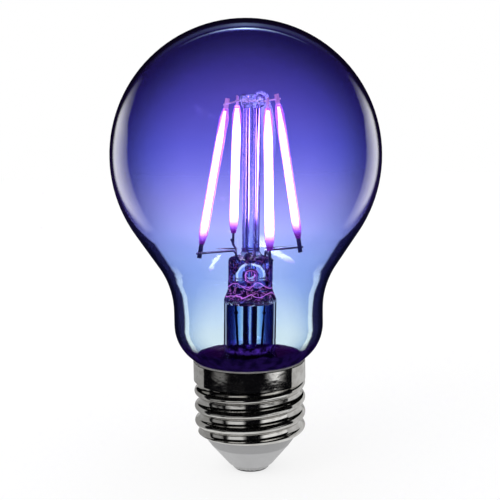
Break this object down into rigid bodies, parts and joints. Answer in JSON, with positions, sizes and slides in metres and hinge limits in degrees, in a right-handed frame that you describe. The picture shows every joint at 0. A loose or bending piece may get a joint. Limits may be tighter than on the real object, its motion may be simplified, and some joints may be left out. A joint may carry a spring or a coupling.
{
  "type": "filament bulb",
  "caption": "Pear-shaped clear bulb of violet-blue tinted glass with straight LED filaments on a glass stem and a metal screw cap.",
  "frame": {"origin": "middle of the centre contact's face, at the foot of the screw cap", "axes": "+Z along the lamp axis from the contact to the dome, -Y towards the picture's viewpoint"},
  "size_m": [0.062, 0.062, 0.1053],
  "materials": {
    "tinted_glass": "polished, tinted violet blue",
    "clear_glass": "fire polished",
    "nickel_plate": "bright nickel plate",
    "white_plastic": "satin",
    "contact_metal": "tinned",
    "dark_cement": "matt",
    "board_laminate": "satin",
    "black_resin": "matt",
    "capacitor_can": "sleeved",
    "resistor_coat": "matt",
    "tinned_wire": "tinned",
    "copper_wire": "drawn",
    "nickel_wire": "drawn",
    "tab_metal": "rolled",
    "filament_coat": "lit, violet white"
  },
  "bodies": {
    "root": {"arm_back": "nickel_wire", "arm_front": "nickel_wire", "arm_left": "nickel_wire", "arm_right": "nickel_wire", "basing_cement": "dark_cement", "capacitor": "capacitor_can", "centre_contact": "contact_metal", "driver_board": "board_laminate", "driver_chip": "black_resin", "filament_back": "filament_coat", "filament_front": "filament_coat", "filament_left": "filament_coat", "filament_right": "filament_coat", "foot_tab_back": "tab_metal", "foot_tab_front": "tab_metal", "foot_tab_left": "tab_metal", "foot_tab_right": "tab_metal", "fuse_resistor": "resistor_coat", "glass_bulb": "tinted_glass", "glass_stem": "clear_glass", "head_tab_back": "tab_metal", "head_tab_front": "tab_metal", "head_tab_left": "tab_metal", "head_tab_right": "tab_metal", "insulator": "white_plastic", "lead_in_left": "copper_wire", "lead_in_right": "copper_wire", "live_wire": "tinned_wire", "neutral_wire": "tinned_wire", "rectifier": "black_resin", "screw_shell": "nickel_plate", "top_wire_back": "nickel_wire", "top_wire_front": "nickel_wire"}
  },
  "joints": []
}
